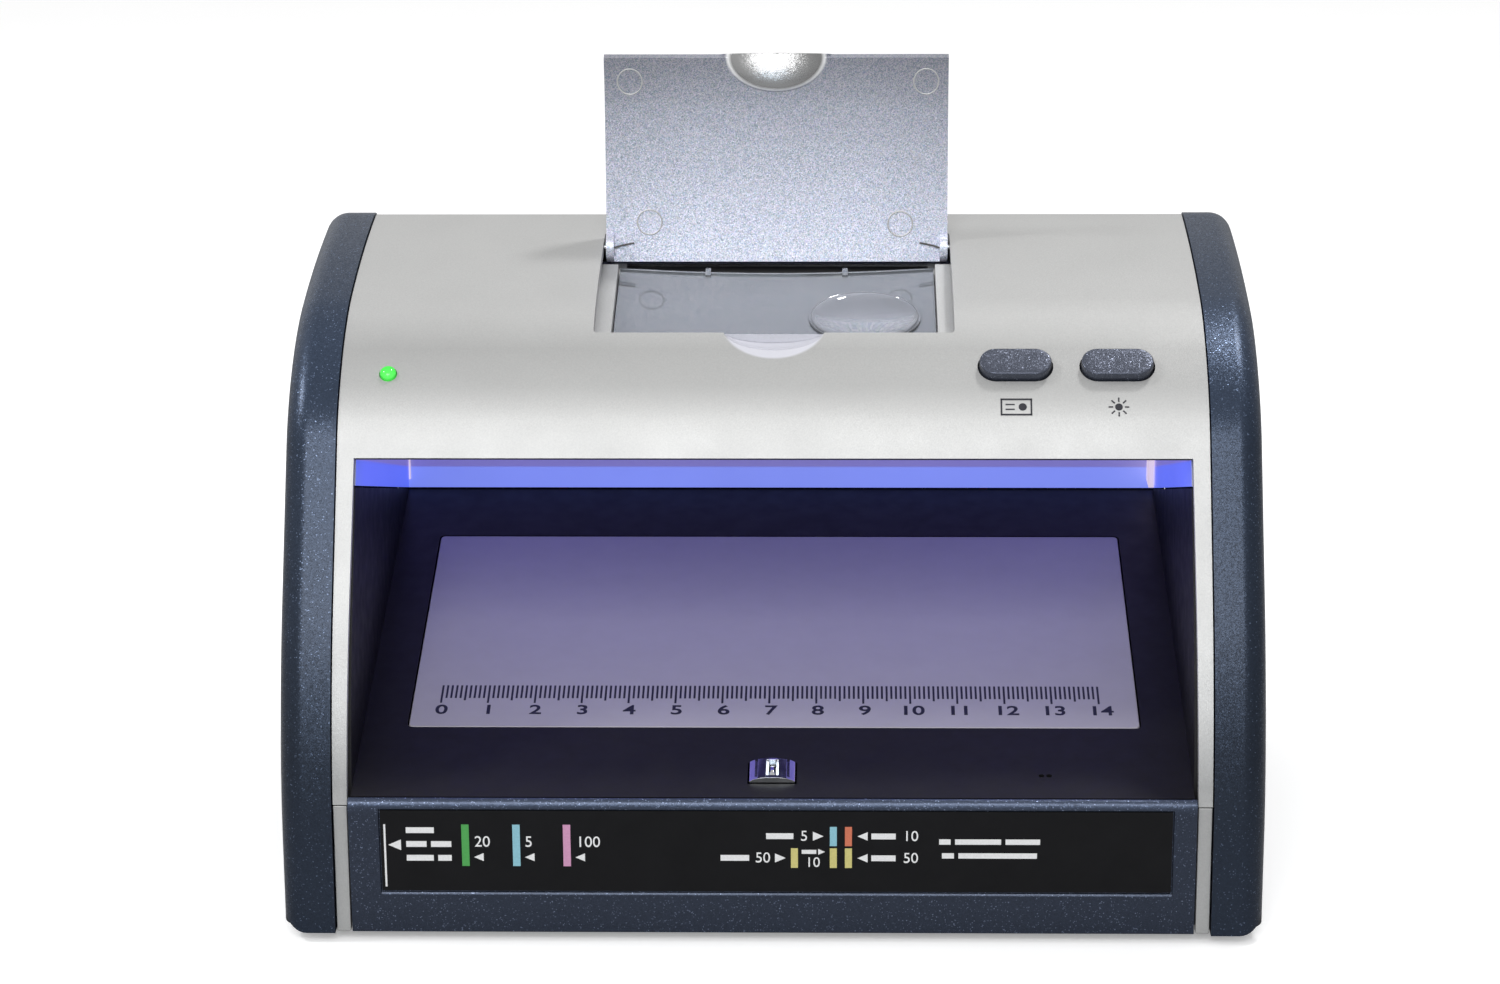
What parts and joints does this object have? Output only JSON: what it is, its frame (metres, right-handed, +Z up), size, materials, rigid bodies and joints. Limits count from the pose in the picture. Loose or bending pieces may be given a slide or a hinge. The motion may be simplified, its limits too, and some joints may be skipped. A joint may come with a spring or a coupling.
{
  "type": "counterfeit bill detector",
  "caption": "Counter-top counterfeit bill detector: open ultraviolet viewing chamber with a sloping tray, curved hood, lidded magnifier window and push buttons.",
  "frame": {"origin": "centre of the bounding box's underside, on the plane the rubber feet rest on", "axes": "+X to the operator's right, +Y towards the back, +Z up"},
  "size_m": [0.2028, 0.1394, 0.1709],
  "materials": {
    "silver_housing": "satin metallic silver paint",
    "slate_housing": "moulded slate blue with fine metallic flake",
    "tray_plastic": "matte near-black",
    "label": "satin black printed label",
    "liner_white": "matte white",
    "opal_panel": "satin opal diffuser with a printed scale",
    "clear_window": "clear",
    "uv_filter": "deep violet filter",
    "lid_silver": "coarse metallic silver flake",
    "head_chrome": "polished",
    "steel": "plain",
    "brass": "bright",
    "black_plastic": "matte black",
    "circuit_board": "green solder mask",
    "led_green": "green lamp",
    "foot_rubber": "matte",
    "cable": "insulated lead"
  },
  "bodies": {
    "housing": {"top_cover": "silver_housing", "left_side_cap": "slate_housing", "right_side_cap": "slate_housing", "left_trim_strip": "silver_housing", "right_trim_strip": "silver_housing", "front_fascia": "slate_housing", "fascia_label": "label", "base_pan": "slate_housing", "rear_panel": "slate_housing", "front_left_foot": "foot_rubber", "front_right_foot": "foot_rubber", "rear_left_foot": "foot_rubber", "rear_right_foot": "foot_rubber", "base_screw_1": "steel", "base_screw_2": "steel", "base_screw_3": "steel", "base_screw_4": "steel", "bill_tray": "tray_plastic", "chamber_liner": "liner_white", "light_panel": "opal_panel", "backlight_board": "circuit_board", "magnetic_head": "head_chrome", "magnetic_core": "steel", "head_bracket": "steel", "left_head_screw": "steel", "right_head_screw": "steel", "note_sensor": "black_plastic", "uv_lamp_bracket": "steel", "uv_led_board": "circuit_board", "uv_filter": "uv_filter", "window_frame": "silver_housing", "viewing_pane": "clear_window", "magnifier_lens": "clear_window", "watermark_switch_body": "steel", "uv_switch_body": "steel", "button_board": "circuit_board", "status_led": "led_green", "status_led_board": "circuit_board", "main_board": "circuit_board", "board_screw_1": "steel", "board_screw_2": "steel", "buzzer": "black_plastic", "dc_jack": "black_plastic", "dc_jack_pin": "brass", "power_switch_housing": "black_plastic", "uv_lamp_cable": "cable", "button_cable": "cable", "head_cable": "cable", "backlight_cable": "cable"},
    "lid": {"window_lid": "lid_silver", "left_hinge_pin": "steel", "right_hinge_pin": "steel", "left_lid_spring": "steel", "right_lid_spring": "steel"},
    "watermark_button": {"watermark_button": "slate_housing", "watermark_switch_plunger": "black_plastic"},
    "uv_button": {"uv_button": "slate_housing", "uv_switch_plunger": "black_plastic"},
    "power_rocker": {"power_rocker": "black_plastic"}
  },
  "joints": [
    {"name": "lid_hinge", "type": "hinge", "parent": "housing", "child": "lid", "pos_m": [0, 0.0213, 0.12736], "axis": [1, 0, 0], "range_deg": [0, 102.79]},
    {"name": "watermark_button_press", "type": "slide", "parent": "housing", "child": "watermark_button", "axis": [0, 0.5883, -0.8087], "range_m": [0, 0.0008]},
    {"name": "uv_button_press", "type": "slide", "parent": "housing", "child": "uv_button", "axis": [0, 0.5883, -0.8087], "range_m": [0, 0.0008]},
    {"name": "power_rocker_tilt", "type": "hinge", "parent": "housing", "child": "power_rocker", "pos_m": [0, 0.0651, 0.026], "axis": [1, 0, 0], "range_deg": [-14, 0]}
  ]
}
